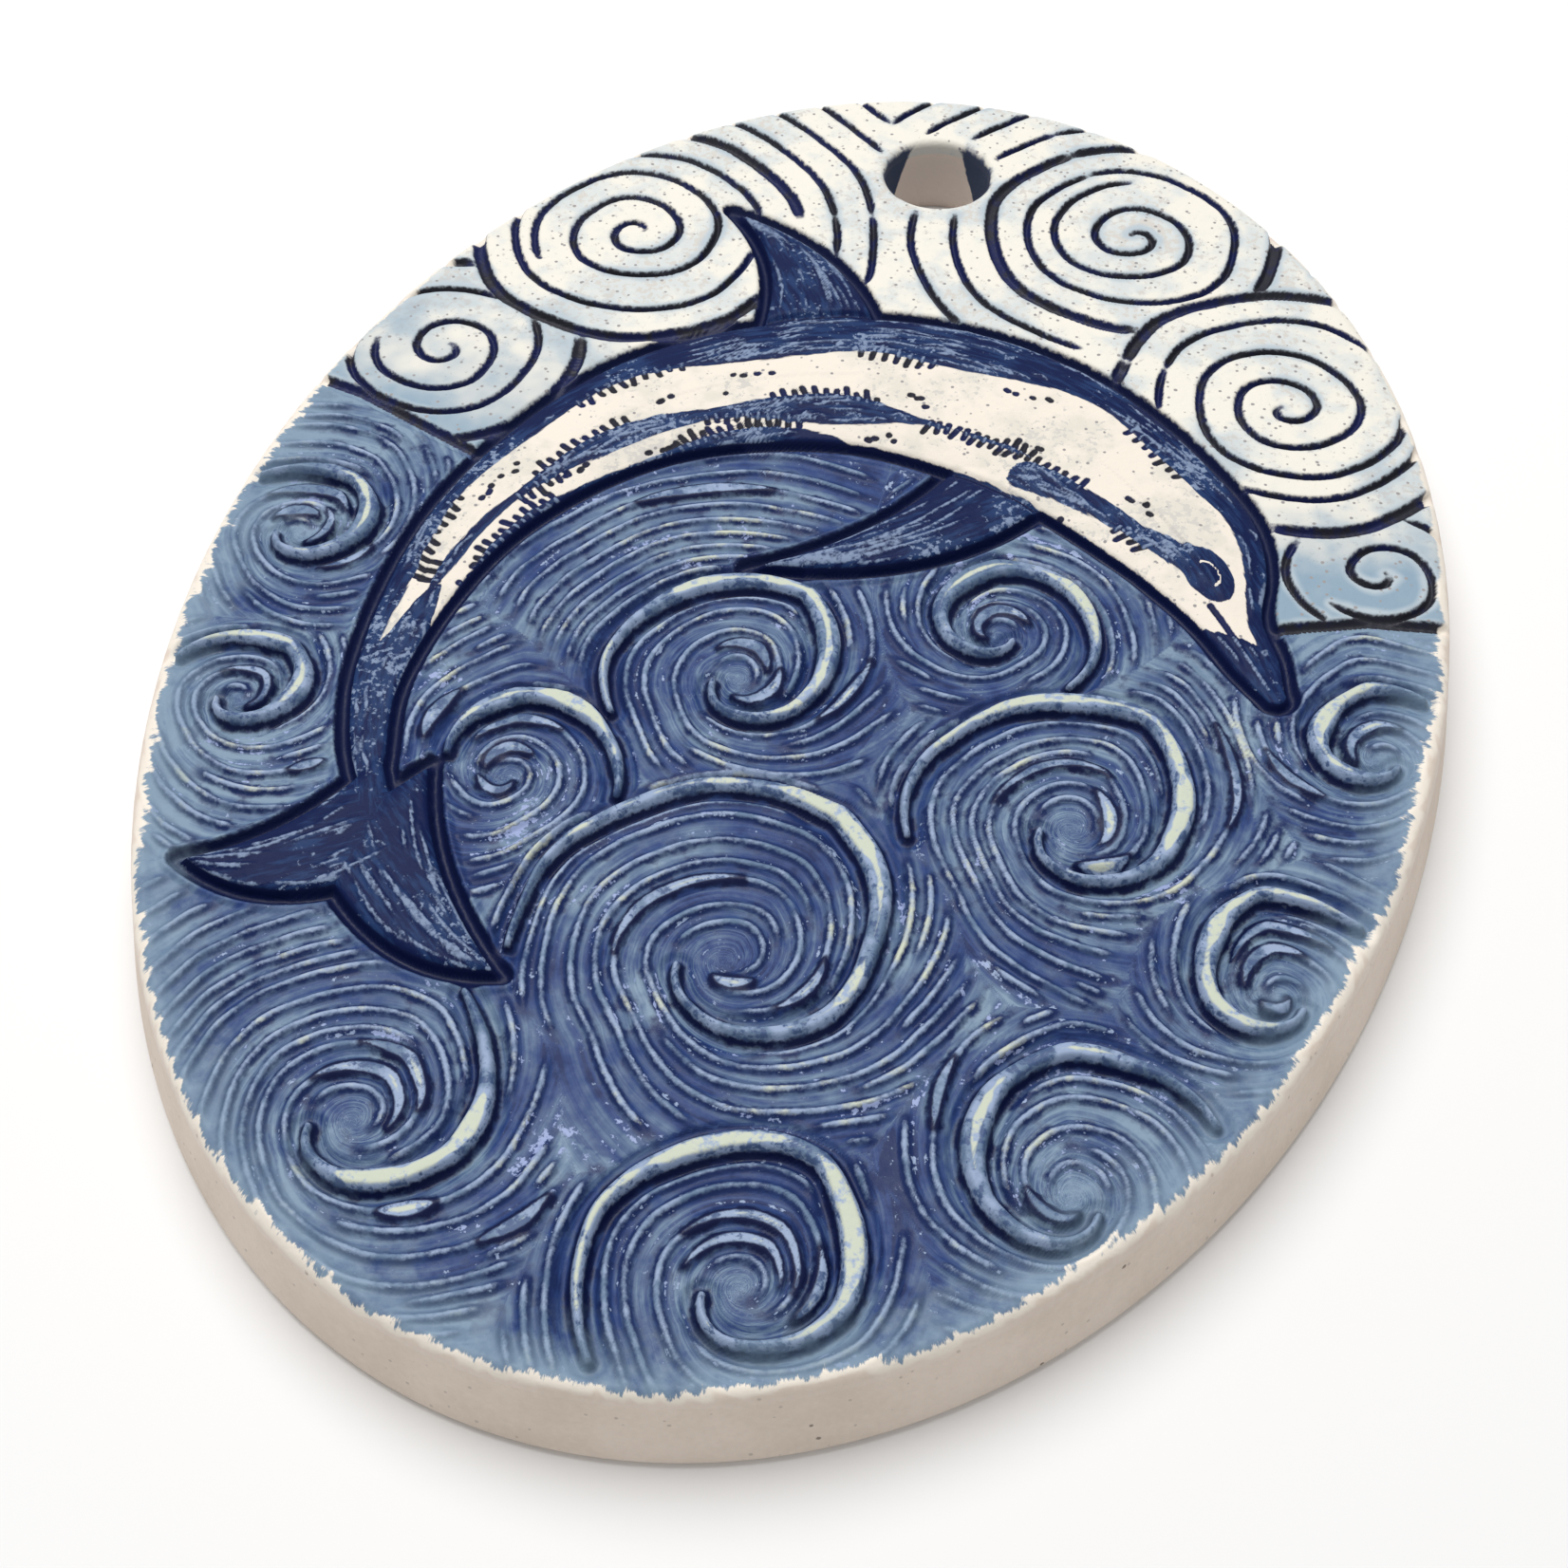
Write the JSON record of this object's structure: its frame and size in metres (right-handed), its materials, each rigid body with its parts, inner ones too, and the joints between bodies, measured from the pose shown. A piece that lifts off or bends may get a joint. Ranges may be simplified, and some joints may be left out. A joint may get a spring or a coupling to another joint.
{
  "type": "pottery hanging ornament",
  "caption": "Oval fired-clay hanging ornament: pressed relief of a leaping dolphin over curling waves and under scroll clouds, with a hanging hole near the top.",
  "frame": {"origin": "centre of the flat back, on the surface the tablet lies on", "axes": "+Z out of the face, +Y towards the hanging hole, +X to the right seen from the front"},
  "size_m": [0.0652, 0.089, 0.0056],
  "materials": {
    "bare_clay": "matt, unglazed, finely speckled",
    "sky_glaze": "satin glaze, cream to pale blue, navy in the grooves",
    "sea_glaze": "satin glaze, mottled cobalt and slate blue",
    "crest_glaze": "satin glaze, breaking pale on raised edges",
    "dolphin_glaze": "satin cream glaze with navy brushwork",
    "navy_glaze": "satin navy glaze"
  },
  "bodies": {
    "root": {"tablet": "bare_clay", "sky_relief": "sky_glaze", "sea_relief": "sea_glaze", "dolphin_body": "dolphin_glaze", "dorsal_fin": "navy_glaze", "flipper": "navy_glaze", "tail_flukes": "navy_glaze", "wave_crest_1": "crest_glaze", "wave_crest_2": "crest_glaze", "wave_crest_3": "crest_glaze", "wave_crest_4": "crest_glaze", "wave_crest_5": "crest_glaze", "wave_crest_6": "crest_glaze", "wave_crest_7": "crest_glaze", "wave_crest_8": "crest_glaze", "wave_crest_9": "crest_glaze", "wave_crest_10": "crest_glaze", "wave_crest_11": "crest_glaze", "wave_crest_12": "crest_glaze"}
  },
  "joints": []
}
